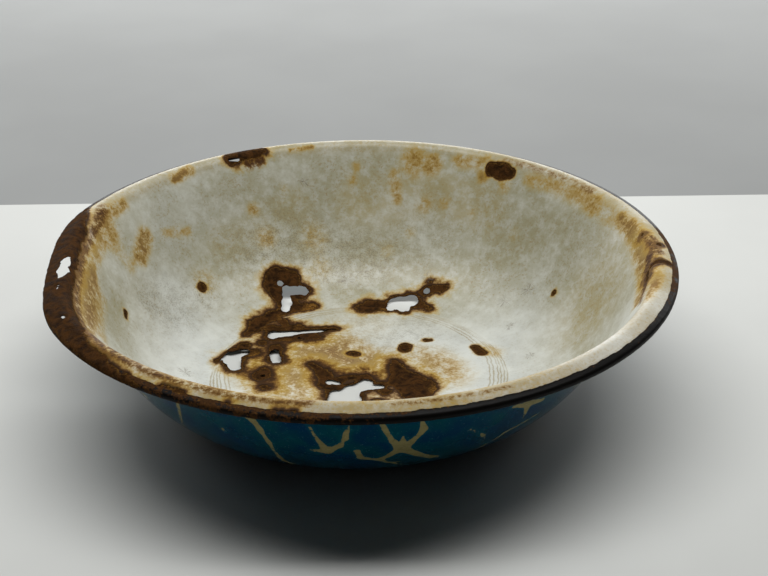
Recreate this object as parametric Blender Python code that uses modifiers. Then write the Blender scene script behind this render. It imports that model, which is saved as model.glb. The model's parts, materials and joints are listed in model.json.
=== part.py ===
"""Enamelled wash basin: a pressed steel pan with a wired, rolled edge, and its three enamel coats.

The basin stands on a narrow foot ring pressed round a slightly raised floor. Its flared wall turns
over into a rounded lip, and the sheet curls over a wire at the edge. White enamel lines the inside,
blue enamel covers the outside and a dark coat protects the curl. All five pieces follow one
sheet path, so they stay concentric when a size changes. The rim is knocked in at one place, and
rust has eaten holes through the sheet.

Units are metres. +Z is up and -Y is the front. The origin is the middle of the object's box on the
resting plane. The knocked-in rim shortens the box, so the basin's axis stands a little to the left.
"""

import math

import bmesh
import bpy
from mathutils import Matrix

# Overall sizes
RIM_RADIUS = 0.178          # outer edge of the finished bead
BEAD_HEIGHT = 0.076         # middle of the bead above the resting plane

# Sheet, coats and wire
STEEL_THICKNESS = 0.0007
COAT_THICKNESS = 0.0003
CLEARANCE = 0.00025         # between a coat or the wire and the steel
WIRE_RADIUS = 0.0008

# Foot and raised floor, measured on the outside of the blue coat
FOOT_OUTER = 0.090
FOOT_INNER = 0.0855
SHOULDER_WIDTH = 0.0035     # run of the step from the foot up to the raised floor
FLOOR_RISE = 0.0021         # underside of the raised floor above the resting plane

# Wall: a cubic curve that leaves the foot and climbs to the lip
WALL_ANGLE = math.radians(55.0)     # slope where the wall meets the lip
COVE_REACH = 0.044                  # how far the cove pulls outwards before it climbs
COVE_LIFT = 0.009
WALL_PULL = 0.037                   # length of the nearly straight upper wall

# Lip: an arch that turns the wall over, measured on the inside of the white coat
LIP_RADIUS = 0.0063
LIP_INSET = 0.0097          # from the rim's outer edge to the crest of the lip
LIP_RISE = 0.005            # crest of the lip above the middle of the bead
WHITE_EDGE_INSET = 0.0037   # from the rim's outer edge to the edge of the white coat
CURL_END = math.radians(-180.0)     # where the curled sheet stops, under the lip
DARK_END = math.radians(-170.0)     # where the dark coat stops on the curl

# Knock in the rim
DENT_DEPTH = 0.0057
DENT_AZIMUTH = math.radians(183.0)
DENT_HALF_SPAN = math.radians(26.5)
DENT_REACH_DOWN = 0.046     # the wall further than this below the bead keeps its shape

# Rust holes. The coats have flaked further back than the steel.
WHITE_FLAKE = 0.0025
BLUE_FLAKE = 0.0010
FROM_AXIS = 0.0
FROM_RIM = RIM_RADIUS
# name, datum radius, distance outwards from it, azimuth, length, width, turn of the length from +X
RUST_HOLES = (
    ("floor_front", FROM_AXIS, 0.0212, 262, 0.034, 0.030, 0),
    ("floor_slit", FROM_AXIS, 0.0612, 123, 0.034, 0.0075, 8),
    ("floor_slit_end", FROM_AXIS, 0.0700, 134, 0.018, 0.0125, 20),
    ("floor_left", FROM_AXIS, 0.0759, 165, 0.030, 0.015, 75),
    ("floor_left_inner", FROM_AXIS, 0.0538, 157, 0.019, 0.0105, 80),
    ("floor_pinhole", FROM_AXIS, 0.0556, 184, 0.004, 0.004, 0),
    ("cove_back", FROM_AXIS, 0.0914, 72, 0.020, 0.016, 20),
    ("cove_back_pinhole", FROM_AXIS, 0.1074, 65, 0.0045, 0.0035, 0),
    ("cove_left_upper", FROM_AXIS, 0.1070, 112, 0.018, 0.009, 10),
    ("cove_left_lower", FROM_AXIS, 0.0973, 117, 0.011, 0.009, 90),
    ("lip_back", FROM_RIM, -0.0154, 119, 0.008, 0.0035, 28),
    ("lip_left", FROM_RIM, -0.0153, 183, 0.024, 0.007, 90),
)

# Fineness of the round shapes
SEGMENTS = 48
WALL_STEPS = 8
ARCH_STEPS = 4
CURL_STEPS = 8
WIRE_SIDES = 8
HOLE_SIDES = 12
MERGE = 0.00001
SMOOTH_ANGLE = math.radians(40.0)

# Distances from the middle of the sheet, which every piece follows
HALF_STEEL = STEEL_THICKNESS / 2
COAT_IN = HALF_STEEL + CLEARANCE
COAT_OUT = COAT_IN + COAT_THICKNESS
CURL_RADIUS = WIRE_RADIUS + CLEARANCE + HALF_STEEL
BEAD_RADIUS = CURL_RADIUS + COAT_OUT
BEAD_CENTRE = (RIM_RADIUS - BEAD_RADIUS, BEAD_HEIGHT)

WHITE = (0.72, 0.75, 0.70, 1.0)
BLUE = (0.02, 0.14, 0.22, 1.0)
DARK = (0.02, 0.017, 0.015, 1.0)
STEEL = (0.16, 0.09, 0.05, 1.0)


# ---------------------------------------------------------------- outlines

def bezier(start, pull_start, pull_end, end, steps):
    """Points of a cubic curve in the radius-height plane, both ends included."""
    points = []
    for i in range(steps + 1):
        t = i / steps
        weights = ((1 - t) ** 3, 3 * (1 - t) ** 2 * t, 3 * (1 - t) * t ** 2, t ** 3)
        corners = (start, pull_start, pull_end, end)
        points.append(tuple(sum(w * c[k] for w, c in zip(weights, corners)) for k in (0, 1)))
    return points


def arc(centre, radius, start, end, steps):
    """Points of an arc, angles in radians from the outward direction."""
    points = []
    for i in range(steps + 1):
        angle = start + (end - start) * i / steps
        points.append((centre[0] + radius * math.cos(angle), centre[1] + radius * math.sin(angle)))
    return points


def sheet_path():
    """Middle of the steel sheet, from the axis to the end of the curl."""
    foot_height = COAT_OUT
    floor_height = FLOOR_RISE + COAT_OUT
    arch_radius = LIP_RADIUS - COAT_OUT
    arch_centre = (RIM_RADIUS - LIP_INSET, BEAD_HEIGHT + LIP_RISE - LIP_RADIUS)

    run = BEAD_CENTRE[0] - arch_centre[0]
    drop = BEAD_CENTRE[1] - arch_centre[1]
    slope = math.atan2(drop, run) - math.asin((arch_radius - CURL_RADIUS) / math.hypot(run, drop))

    foot_edge = (FOOT_OUTER, foot_height)
    wall_start = math.pi / 2 + WALL_ANGLE
    tangent = math.pi / 2 + slope
    arch = arc(arch_centre, arch_radius, wall_start, tangent, ARCH_STEPS)
    wall_top = arch[0]
    pull_start = (FOOT_OUTER + COVE_REACH, foot_height + COVE_LIFT)
    pull_end = (wall_top[0] - WALL_PULL * math.cos(WALL_ANGLE),
                wall_top[1] - WALL_PULL * math.sin(WALL_ANGLE))
    wall = bezier(foot_edge, pull_start, pull_end, wall_top, WALL_STEPS)

    path = [(0.0, floor_height), (FOOT_INNER - SHOULDER_WIDTH, floor_height)]
    path += [(FOOT_INNER, foot_height)]
    path += wall[:-1]
    path += arch
    path += arc(BEAD_CENTRE, CURL_RADIUS, tangent, CURL_END, CURL_STEPS)
    return path


def curl_start(path):
    """Index of the first point of the curl."""
    return len(path) - CURL_STEPS - 1


def offset(path, distance):
    """The path moved sideways, towards the inside of the basin where distance is positive."""
    moved = []
    for i, (r, z) in enumerate(path):
        normals = []
        for a, b in ((i - 1, i), (i, i + 1)):
            if a < 0 or b >= len(path):
                continue
            dr = path[b][0] - path[a][0]
            dz = path[b][1] - path[a][1]
            length = math.hypot(dr, dz)
            normals.append((-dz / length, dr / length))
        nr = sum(n[0] for n in normals) / len(normals)
        nz = sum(n[1] for n in normals) / len(normals)
        square = nr * nr + nz * nz
        moved.append((r + distance * nr / square, z + distance * nz / square))
    return moved


def lip_point(path, radius):
    """The point at this radius on the straight run between the lip's arch and the curl."""
    end = curl_start(path)
    (r0, z0), (r1, z1) = path[end - 1], path[end]
    return radius, z0 + (z1 - z0) * (radius - r0) / (r1 - r0)


def layer(path, low, high):
    """Outline of a layer along the path, from its upper side round to its lower side."""
    return offset(path, high) + offset(path, low)[::-1]


# ---------------------------------------------------------------- pieces

def material(name, colour, roughness, metallic=0.0):
    made = bpy.data.materials.new(name)
    made.use_nodes = True
    shader = made.node_tree.nodes["Principled BSDF"]
    shader.inputs["Base Color"].default_value = colour
    shader.inputs["Roughness"].default_value = roughness
    shader.inputs["Metallic"].default_value = metallic
    made.diffuse_color = colour
    return made


def dent(mesh):
    """Push the rim and the upper wall inwards round DENT_AZIMUTH."""
    for vertex in mesh.vertices:
        x, y, z = vertex.co
        turn = math.remainder(math.atan2(y, x) - DENT_AZIMUTH, 2 * math.pi)
        up = min(1.0, (z - BEAD_HEIGHT) / DENT_REACH_DOWN + 1.0)
        if abs(turn) >= DENT_HALF_SPAN or up <= 0.0:
            continue
        across = math.cos(turn / DENT_HALF_SPAN * math.pi / 2) ** 2
        push = DENT_DEPTH * across * up * up * (3 - 2 * up)
        radius = math.hypot(x, y)
        vertex.co.x -= x / radius * push
        vertex.co.y -= y / radius * push


def split_quads(mesh):
    """Cut each quad along its shorter diagonal, so that layers side by side bend alike."""
    bm = bmesh.new()
    bm.from_mesh(mesh)
    bmesh.ops.triangulate(bm, faces=bm.faces, quad_method="SHORT_EDGE")
    bm.to_mesh(mesh)
    bm.free()


def finish(obj, collection, surface):
    """Dent the piece, shade it smooth and put it in its collection."""
    dent(obj.data)
    split_quads(obj.data)
    obj.data.shade_smooth()
    obj.data.set_sharp_from_angle(angle=SMOOTH_ANGLE)
    obj.data.materials.clear()
    obj.data.materials.append(surface)
    for owner in list(obj.users_collection):
        owner.objects.unlink(obj)
    collection.objects.link(obj)
    return obj


def turned(name, outline, closed, collection, surface):
    """Spin an outline round the axis. An open outline starts and ends on the axis."""
    edges = [(i, i + 1) for i in range(len(outline) - 1)]
    if closed:
        edges.append((len(outline) - 1, 0))
    profile = bpy.data.meshes.new(name + "_profile")
    profile.from_pydata([(r, 0.0, z) for r, z in outline], edges, [])
    obj = bpy.data.objects.new(name, profile)
    collection.objects.link(obj)
    screw = obj.modifiers.new("turn", "SCREW")
    screw.steps = SEGMENTS
    screw.render_steps = SEGMENTS
    screw.use_merge_vertices = True
    screw.merge_threshold = MERGE
    bpy.context.view_layer.update()
    evaluated = obj.evaluated_get(bpy.context.evaluated_depsgraph_get())
    solid = bpy.data.meshes.new_from_object(evaluated)
    solid.name = name
    obj.modifiers.clear()
    obj.data = solid
    bpy.data.meshes.remove(profile)
    return finish(obj, collection, surface)


def rim_wire(collection, surface):
    """Closed ring of wire in the middle of the curl."""
    bpy.ops.mesh.primitive_torus_add(
        major_segments=SEGMENTS, minor_segments=WIRE_SIDES,
        major_radius=BEAD_CENTRE[0], minor_radius=WIRE_RADIUS)
    obj = bpy.context.object
    obj.name = obj.data.name = "rim_wire"
    obj.data.transform(Matrix.Translation((0.0, 0.0, BEAD_HEIGHT)))
    return finish(obj, collection, surface)


def hole_cutter(name, hole, grow, collection):
    """Upright oval prism for one rust hole, made wider all round by grow."""
    _, datum, distance, azimuth, length, width, turn = hole
    radius = datum + distance
    top = BEAD_HEIGHT + LIP_RADIUS * 2
    bottom = -LIP_RADIUS
    mesh = bpy.data.meshes.new(name)
    bm = bmesh.new()
    bmesh.ops.create_cone(bm, cap_ends=True, segments=HOLE_SIDES, radius1=1.0, radius2=1.0, depth=1.0)
    bm.to_mesh(mesh)
    bm.free()
    angle = math.radians(azimuth)
    size = Matrix.Diagonal((length / 2 + grow, width / 2 + grow, top - bottom, 1.0))
    place = Matrix.Translation((radius * math.cos(angle), radius * math.sin(angle), (top + bottom) / 2))
    mesh.transform(place @ Matrix.Rotation(math.radians(turn), 4, "Z") @ size)
    obj = bpy.data.objects.new(name, mesh)
    obj.hide_render = True
    obj.display_type = "WIRE"
    collection.objects.link(obj)
    return obj


def cut_rust_holes(obj, grow, collection):
    for hole in RUST_HOLES:
        cutter = hole_cutter(f"{obj.name}_{hole[0]}", hole, grow, collection)
        cut = obj.modifiers.new(hole[0], "BOOLEAN")
        cut.operation = "DIFFERENCE"
        cut.solver = "EXACT"
        cut.object = cutter


# ---------------------------------------------------------------- basin

def centre_box(pieces, cutters):
    """Move all pieces from the basin's axis to the middle of their box, which the dent has moved."""
    xs = [vertex.co.x for piece in pieces for vertex in piece.data.vertices]
    shift = -(min(xs) + max(xs)) / 2
    for obj in pieces + cutters:
        obj.location.x = shift


def new_collection(name):
    collection = bpy.data.collections.new(name)
    bpy.context.scene.collection.children.link(collection)
    return collection


def build():
    for obj in list(bpy.data.objects):
        bpy.data.objects.remove(obj)
    basin = new_collection("enamelled_basin")
    cutters = new_collection("cutters")

    white = material("white_enamel", WHITE, 0.25)
    blue = material("blue_enamel", BLUE, 0.2)
    dark = material("dark_enamel", DARK, 0.35)
    steel = material("rusted_steel", STEEL, 0.8, 0.3)

    path = sheet_path()
    curl = curl_start(path)
    white_edge = RIM_RADIUS - WHITE_EDGE_INSET
    blue_edge = BEAD_CENTRE[0] - BEAD_RADIUS - CLEARANCE
    covered = path[:curl] + [lip_point(path, white_edge - CLEARANCE / 2)]
    backed = path[:curl] + [lip_point(path, blue_edge)]
    edge = [lip_point(path, white_edge + CLEARANCE / 2)]
    edge += arc(BEAD_CENTRE, CURL_RADIUS, math.atan2(
        path[curl][1] - BEAD_CENTRE[1], path[curl][0] - BEAD_CENTRE[0]), DARK_END, CURL_STEPS)

    pan = turned("steel_pan", layer(path, -HALF_STEEL, HALF_STEEL), False, basin, steel)
    lining = turned("inner_enamel", layer(covered, COAT_IN, COAT_OUT), False, basin, white)
    shell = turned("outer_enamel", layer(backed, -COAT_OUT, -COAT_IN), False, basin, blue)
    turned("rim_enamel", layer(edge, COAT_IN, COAT_OUT), True, basin, dark)
    rim_wire(basin, steel)

    cut_rust_holes(pan, 0.0, cutters)
    cut_rust_holes(lining, WHITE_FLAKE, cutters)
    cut_rust_holes(shell, BLUE_FLAKE, cutters)
    centre_box(list(basin.objects), list(cutters.objects))


build()
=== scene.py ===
"""Looks of an old enamelled wash basin: a rusted steel sheet under white, blue and dark coats.

The basin is one pressed sheet, so everything on it is laid out on the sheet unrolled flat. A place on
that layout is (x, y) in millimetres: its distance from the middle is the length measured along the
lining from the axis, its direction is the direction seen from above, and +y is the back. Wear is
drawn there with strokes, which are chains of round dabs (x, y, radius). Each coat is cut along the
wear and then rolled up into the basin, with its thickness measured down from the lining's surface.
"""

import json
import math

import bpy
import numpy as np
from bpy.props import FloatProperty, FloatVectorProperty, PointerProperty
from bpy.types import Operator, Panel, PropertyGroup
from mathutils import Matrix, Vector
from mathutils.geometry import delaunay_2d_cdt

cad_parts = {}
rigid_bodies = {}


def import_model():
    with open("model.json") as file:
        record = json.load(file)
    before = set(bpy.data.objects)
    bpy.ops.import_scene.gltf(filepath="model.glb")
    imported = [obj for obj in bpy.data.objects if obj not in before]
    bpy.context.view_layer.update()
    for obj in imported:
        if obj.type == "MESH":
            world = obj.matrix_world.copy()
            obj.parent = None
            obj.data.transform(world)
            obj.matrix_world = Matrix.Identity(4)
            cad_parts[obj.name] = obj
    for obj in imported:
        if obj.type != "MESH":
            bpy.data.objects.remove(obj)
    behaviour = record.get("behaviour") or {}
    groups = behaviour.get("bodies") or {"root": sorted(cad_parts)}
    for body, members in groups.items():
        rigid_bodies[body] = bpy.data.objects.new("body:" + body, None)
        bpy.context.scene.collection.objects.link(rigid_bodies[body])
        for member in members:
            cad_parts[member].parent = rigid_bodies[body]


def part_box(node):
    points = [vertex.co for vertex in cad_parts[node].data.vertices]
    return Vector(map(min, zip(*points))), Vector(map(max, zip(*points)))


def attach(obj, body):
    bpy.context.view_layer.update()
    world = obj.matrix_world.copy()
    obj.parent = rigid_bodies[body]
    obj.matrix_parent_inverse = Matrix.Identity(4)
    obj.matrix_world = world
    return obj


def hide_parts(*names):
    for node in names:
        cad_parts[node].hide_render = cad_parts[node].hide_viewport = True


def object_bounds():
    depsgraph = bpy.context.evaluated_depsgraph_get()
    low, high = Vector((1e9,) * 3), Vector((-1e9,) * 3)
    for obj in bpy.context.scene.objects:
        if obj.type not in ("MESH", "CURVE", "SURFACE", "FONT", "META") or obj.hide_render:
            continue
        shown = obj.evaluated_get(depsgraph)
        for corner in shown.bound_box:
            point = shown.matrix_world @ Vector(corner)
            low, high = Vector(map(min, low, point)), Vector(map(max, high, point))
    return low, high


bl_info = {
    "name": "Worn enamelled basin",
    "version": (1, 0, 0),
    "blender": (4, 5, 0),
    "location": "View3D > Sidebar > Basin",
    "description": "Builds a rusted enamelled wash basin, its coats and a plain stage",
    "category": "Add Mesh",
}

for left_over in list(bpy.data.objects):
    bpy.data.objects.remove(left_over)
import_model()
CAD_LOW, CAD_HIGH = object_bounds()

MM = 0.001
PER_MM = 1000.0

wire_low, wire_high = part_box("rim_wire")
bead_low, bead_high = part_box("rim_enamel")
RIM_RADIUS = (bead_high.y - bead_low.y) / 2
BEAD_HEIGHT = (wire_low.z + wire_high.z) / 2
AXIS_X = CAD_HIGH.x - RIM_RADIUS      # the knock is on the left, so the right side is true
WIRE_RADIUS = (wire_high.z - wire_low.z) / 2
BEAD_RADIUS = bead_high.y - wire_high.y + WIRE_RADIUS


# ------------------------------------------------------------------ where the wear is
# Each stroke is a row of dabs (x, y, radius) in millimetres on the layout.

def on_lip(*dabs):
    """A stroke's dabs from azimuth, length from the middle and radius, with more between to stay round."""
    chain = []
    for start, end in zip(dabs, dabs[1:] + dabs[-1:]):
        count = max(1, math.ceil(abs(end[0] - start[0]) / 6))
        for k in range(count):
            azimuth, run, radius = (a + (b - a) * k / count for a, b in zip(start, end))
            turn = math.radians(azimuth)
            chain.append((run * math.cos(turn), run * math.sin(turn), radius))
    return tuple(chain)


HOLES = (
    # left of the raised floor
    ((-76, 20, 6.2), (-72, 7, 3.2)), ((-76, 22, 5.2), (-69, 27, 4.2)), ((-82, 20, 1.5), (-79, 27, 1.5)),
    ((-68.5, 34, 1.1),), ((-50, 26, 2.8), (-49, 15, 3.0)),
    # the long slit and its wide end
    ((-50, 51.5, 4.2), (-33, 54.5, 2.6), (-14, 57, 0.9)), ((-51, 51, 4.6), (-53, 46, 2.0)),
    ((-36, 45, 0.8),), ((-55.5, -3, 1.3),),
    # front of the raised floor
    ((-17, -7, 2.6), (-13, -9, 3.1)), ((4, -9, 4.2), (1, -14, 5.6)), ((1, -15, 4.6), (12, -14, 2.8)),
    ((-4, -17, 5.6), (-10, -28, 7.4)), ((-5, -29, 6.6),), ((-13, -22, 4.6), (-12, -30, 6.0)),
    # cove, back right
    ((24, 90, 5.9), (33, 92, 5.1)), ((21, 86, 4.0), (20, 80, 2.3)), ((28, 84, 4.6), (28, 78, 2.0)),
    ((44, 98.5, 2.1),),
    # cove, back left
    ((-45, 101, 3.1), (-36, 102, 3.7)), ((-46, 96, 2.2), (-45, 90, 2.7), (-46, 84, 2.7)),
    ((-50.5, 105, 1.7),),
    # lip
    ((-99, 176, 1.2), (-93, 178.5, 1.2)),
    on_lip((180.6, 204.5, 1.2), (182.6, 206.2, 2.9), (186.2, 206.6, 3.6), (189.6, 207.6, 1.3)),
    on_lip((193.0, 208.0, 0.7), (194.4, 208.6, 0.7)),
    on_lip((205.6, 209.6, 0.5), (206.4, 209.0, 0.5)),
)

BARE = (
    # cove, back left, down to the slit
    ((-52, 108, 8.4), (-43, 110, 6.4)), ((-55, 102, 6.4), (-50, 97, 6.4), (-46, 88, 5.4)),
    ((-38, 100, 6.4),), ((-43, 86, 4.0), (-30, 88, 4.0)),
    ((-47, 82, 3.6), (-55, 75, 4.4), (-62, 66, 5.4), (-65, 55, 3.5), (-68, 48, 2.5)),
    ((-50, 70, 3.0), (-46, 64, 2.5)), ((-55, 58, 2.6), (-35, 60, 2.6)),
    # between the slit and the round holes
    ((-50, 45, 5.4), (-27, 45, 4.9)), ((-58, 37, 3.0),), ((-69, 33, 4.4),), ((-62, 25, 4.6),),
    ((-50, 30, 4.4),), ((-56, -3, 5.8), (-55, 4, 2.4)), ((-54, -17, 3.6),),
    # front of the raised floor
    ((-28, 10, 2.5), (-20, 0, 4.4), (-17, -12, 6.4)), ((-10, -4, 3.0), (4, -2, 2.6)),
    ((20, 12, 2.0), (23, 2, 3.5), (27, -10, 9.2), (33, -20, 10.2), (28, -28, 5.6)), ((15, -22, 4.6),),
    ((10, -33, 3.6),),
    # cove, back right
    ((6, 84, 9.2), (11, 86, 8.2)), ((28, 75, 2.6),), ((44, 98, 3.9), (56, 99, 2.2)), ((47, 105, 0.8),),
    ((38, 88, 3.5), (44, 83, 2.2)),
    # back of the lip
    ((-99, 177.5, 3.2), (-88, 184, 4.6), (-73, 190.5, 3.2)),
    # left of the lip, where coat and bead are gone
    on_lip((157, 214, 2.0), (162, 211.5, 5.0), (168, 208.5, 9.2), (180, 208.5, 9.8),
        (195, 208.5, 9.8), (206, 208, 9.4), (212, 211, 6.6), (219, 214, 4.4), (226, 216, 3.0),
        (233, 217.5, 1.4)),
    on_lip((237, 212.6, 0.7), (241, 213.0, 1.0)), on_lip((249, 213.4, 0.8)),
    on_lip((257, 212.8, 0.6), (260, 213.2, 0.8)),
    # right of the lip
    on_lip((353.5, 210, 2.8), (353.4, 205, 2.4), (353.0, 200, 1.5)),
    on_lip((352.0, 197.5, 0.9), (349.0, 196.2, 1.2)), on_lip((361, 208.3, 1.9)),
    on_lip((366.7, 202.9, 1.5)),
)

# neat round chips that stain little round them
CHIPS = (
    ((-4, 22, 2.4), (-1, 21, 1.8)), ((28, 30, 3.6), (27, 26, 3.6)), ((41, 37, 1.7), (43, 37, 1.2)),
    ((69.5, 27, 2.8), (72.5, 20.5, 3.2)), ((-101, 83.5, 2.9),), ((-148, 21, 1.4), (-147, 17, 0.8)),
    ((126, 57.5, 1.4),), ((105, 165, 4.2), (113, 159.5, 5.4), (119, 155, 3.4)),
)

# dabs of each soft mark, then its strength from 0 to 1
STAINS = (
    # brown tide on the raised floor
    ((-30, 25, 26), 0.85), ((-5, 5, 22), 0.95), ((-55, 10, 20), 0.75), ((35, 10, 20), 0.60),
    ((50, -5, 16), 0.50), ((-40, -15, 24), 0.75), ((0, 55, 22), 0.25), ((-60, 60, 12), 0.70),
    ((78, 24, 8), 0.60),
    # back wall
    ((-76, 150, 3.5), 0.80), ((-63, 133, 6), 0.55), ((-30, 140, 9), 0.45), ((-25, 120, 7), 0.45),
    ((0, 188, 3), 0.60), ((-3, 180, 3), 0.50), ((-55, 169, 2), 0.50),
    ((-140, 143, 3.5), (-129, 156, 3.5), 0.95), ((-52, 195, 1.5), (-35, 200, 1.5), 0.95),
    ((-137, 103, 3), (-120, 115, 3), 0.60), ((45, 188, 9), 0.70), ((60, 183, 6), 0.80),
    ((29, 182, 3), (30, 165, 3), 0.60), ((80, 180, 4), (95, 173, 4), 0.70), ((98, 163, 4), 0.90),
    ((113, 150, 4), 0.70), ((103, 172, 3), 0.80), ((20, 132, 4), 0.45), ((37, 141, 3), 0.50),
    ((50, 158, 4), 0.50), ((65, 155, 3), 0.35), ((83, 143, 2), 0.35), ((110, 115, 4), 0.30),
    # broad yellowing of the back wall
    ((-95, 120, 10), (-45, 160, 12), 0.20), ((0, 165, 16), (60, 165, 18), (95, 140, 16), 0.26),
    ((-100, 88, 9), 0.40),
    # right wall and lip
    ((131, 144, 4), (147, 130, 5), (162, 112, 6), (175, 90, 6), 0.60),
    ((175, 90, 6), (188, 60, 6), (195, 40, 5), 0.45),
    (*on_lip((342, 191, 4), (350, 193, 6), (359, 196, 6.5), (368, 199, 6), (377, 200, 3)), 0.95),
    (*on_lip((337, 203, 2.5), (345, 204, 4.5), (351, 204, 4)), 0.85),
    (*on_lip((354, 202, 5), (361, 203, 6), (367, 202, 4)), 0.95),
    ((155, 20, 34), 0.26),
    # left wall and the lip from there to the front
    (*on_lip((150, 199, 3), (157, 199, 5), (163, 196, 5)), 0.85),
    (*on_lip((212, 202, 5), (224, 203, 5), (238, 204, 4), (258, 205, 3)), 0.60),
    ((-150, 90, 5.5), (-150, 72, 5.5), 0.95), ((-155, 60, 5), 0.50), ((-168, 62, 7), 0.45),
    (*on_lip((158, 189, 5), (166, 190, 6), (176, 189, 7)), 0.75),
    (*on_lip((178, 188, 8), (186, 187, 9), (193, 185, 9), (203, 187, 7), (212, 193, 5)), 0.95),
    (*on_lip((180, 174, 9), (196, 172, 9)), 0.55),
)

# grey and ochre pepper marks
PEPPER = (
    ((-120, 55, 18), 0.60), ((-100, 80, 10), 0.90), ((-135, 47, 7), 0.70),
    ((-50, 130, 22), (5, 125, 18), 0.75), ((-80, 120, 16), 0.40), ((45, 135, 20), 0.35),
    ((20, 40, 30), 0.45),
)

# lip all round: brown grime on the cream
GRIME = (
    (*on_lip((156, 203, 4), (160, 199, 4), (166, 197, 3.5), (178, 196, 3), (190, 196, 3),
        (203, 194, 3.5), (211, 197, 3.5)), 0.70),
    (*on_lip((212, 202, 4), (218, 205, 3.5), (229, 207.8, 2.0), (245, 208.6, 1.4),
        (262, 209, 1.0)), 0.75),
    (*on_lip((214, 200, 4), (226, 202, 4), (240, 203, 4), (262, 204, 3)), 0.34),
    (*on_lip((262, 205, 3), (290, 205, 3)), 0.16),
    (*on_lip((275, 208.8, 1.2), (295, 208.8, 1.0)), 0.55),
    (*on_lip((353.5, 196, 2.6), (353.4, 208, 2.6)), 0.98),
    (*on_lip((357, 206, 3.5), (364, 205, 3.5), (367, 202, 2.5)), 0.70),
    (*on_lip((358, 200, 2.4), (351, 196.5, 2.4), (344, 194, 2.0), (339, 196, 1.4)), 0.95),
    ((-85, 178, 3), (-75, 183, 3), 0.95), (*on_lip((30, 203, 3), (55, 203, 2)), 0.45),
)

# warm spots within the rust
ORANGE = (
    ((11, -28, 4), 1.0), ((-46, 74, 4), (-40, 72, 3), 0.8), ((-60, 20, 5), 0.9), ((-44, 40, 3), 0.5),
    ((-33, 80, 3), (-28, 92, 3), 0.9), ((44, -22, 4), 0.8), ((17, 80, 3), 0.6),
    (*on_lip((350, 206, 3), (344, 206, 3)), 0.7),
)

# floor of the basin that has sunk to the table round the holes
SUNKEN = (
    ((-47, 53, 2), (-12, 58, 1)), ((-14, -8, 4), (4, -14, 8), (-6, -26, 8)),
)

# front veins of the outside coat
VEINS = (
    ((-106, -140, 0.9), (-97, -98, 0.6)),
    ((-61, -166, 2.0), (-56, -158, 1.5), (-50, -147, 0.8), (-43, -130, 0.7), (-37, -119, 1.5)),
    ((-40, -124, 0.6), (-32, -121, 0.5)), ((-70, -168, 0.5), (-61, -164, 1.0)),
    ((-77, -140, 0.7), (-75, -138, 0.4)),
    ((-30, -178, 0.4), (-23, -161, 0.9), (-18, -152, 2.4), (-11, -158, 1.2), (-8, -172, 0.6)),
    ((-27, -150, 0.8), (-18, -151, 1.6)), ((-7, -180, 0.5), (-7, -165, 0.4)),
    ((12, -181, 1.0), (18, -161, 1.3), (22, -152, 3.0)), ((23, -151, 2.0), (24, -164, 0.5)),
    ((23, -151, 2.6), (33, -163, 1.2), (36, -168, 1.8), (35, -177, 0.7)),
    ((22, -151, 2.4), (10, -141, 0.9), (0, -145, 1.1), (-2, -153, 1.5)),
    ((24, -150, 2.4), (38, -131, 1.4), (42, -128, 0.6)), ((10, -141, 0.7), (22, -127, 0.6)),
    ((13, -136, 0.4), (26, -132, 0.5)), ((88, -150, 0.8), (97, -141, 2.6), (106, -131, 1.2)),
    ((97, -140, 2.2), (92, -126, 0.5)), ((101, -114, 0.8), (80, -121, 0.6), (60, -112, 0.5)),
    ((62, -150, 0.4), (68, -135, 0.6), (66, -118, 0.5)),
)

# radii of the painted shade lines round the raised floor: dark lines that stand in for the shade of its
# pressed ridges
SHADE_LINE_RADII = (76.0, 78.1, 80.7, 82.4, 84.3, 86.0)

# share of cream on the lip, by azimuth in degrees
CREAM_TURNS = (0, 20, 60, 140, 165, 210, 285, 312, 335, 350, 360)
CREAM_SHARES = (0.8, 0.45, 0.35, 0.35, 0.6, 0.9, 1.0, 0.55, 0.5, 0.8, 0.8)

# tips of fine cracks: middle and reach
CRAZE_STARS = ((-7, 112, 7), (45, 109, 5), (-40, 176, 4), (-102, 0, 6), (110, 72, 6),
               (93, 73, 6), (93, 50, 4), (102, 14, 4))


# ------------------------------------------------------------------ fields over the layout

def lumps(x, y, size, seed):
    """Smooth noise from -1 to 1 with lumps about this many millimetres across."""
    u, v = x / size, y / size
    i, j = np.floor(u).astype(np.int64), np.floor(v).astype(np.int64)
    fu, fv = u - i, v - j
    fu, fv = fu * fu * (3 - 2 * fu), fv * fv * (3 - 2 * fv)

    def corner(a, b):
        mixed = (a * 374761393 + b * 668265263 + seed * 362437) & 0xFFFFFFFF
        mixed = ((mixed ^ (mixed >> 13)) * 1274126177) & 0xFFFFFFFF
        return ((mixed ^ (mixed >> 16)) & 0xFFFF) / 32767.5 - 1

    near = corner(i, j) * (1 - fu) + corner(i + 1, j) * fu
    far = corner(i, j + 1) * (1 - fu) + corner(i + 1, j + 1) * fu
    return near * (1 - fv) + far * fv


def ragged(x, y, amount, seed):
    """Noise in millimetres for the broken edge of a coat or a hole."""
    coarse = lumps(x, y, 6.0, seed) + 0.55 * lumps(x, y, 2.6, seed + 1)
    return amount * (coarse + 0.3 * lumps(x, y, 1.3, seed + 2))


def ease(value, low, high):
    """0 at low, 1 at high, with a smooth start and end."""
    t = np.clip((value - low) / (high - low), 0, 1)
    return t * t * (3 - 2 * t)


def fade(value, low, high):
    """1 at low, 0 at high."""
    return 1 - ease(value, low, high)


def azimuth(x, y):
    """Direction in degrees, counted from +X towards the back."""
    return np.degrees(np.arctan2(y, x)) % 360


def dab_distance(x, y, a, b):
    """Distance to a tapered stroke between two dabs, negative inside it."""
    dx, dy = b[0] - a[0], b[1] - a[1]
    along = np.clip(((x - a[0]) * dx + (y - a[1]) * dy) / (dx * dx + dy * dy + 1e-9), 0, 1)
    reach = a[2] + along * (b[2] - a[2])
    return np.hypot(x - a[0] - along * dx, y - a[1] - along * dy) - reach


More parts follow.
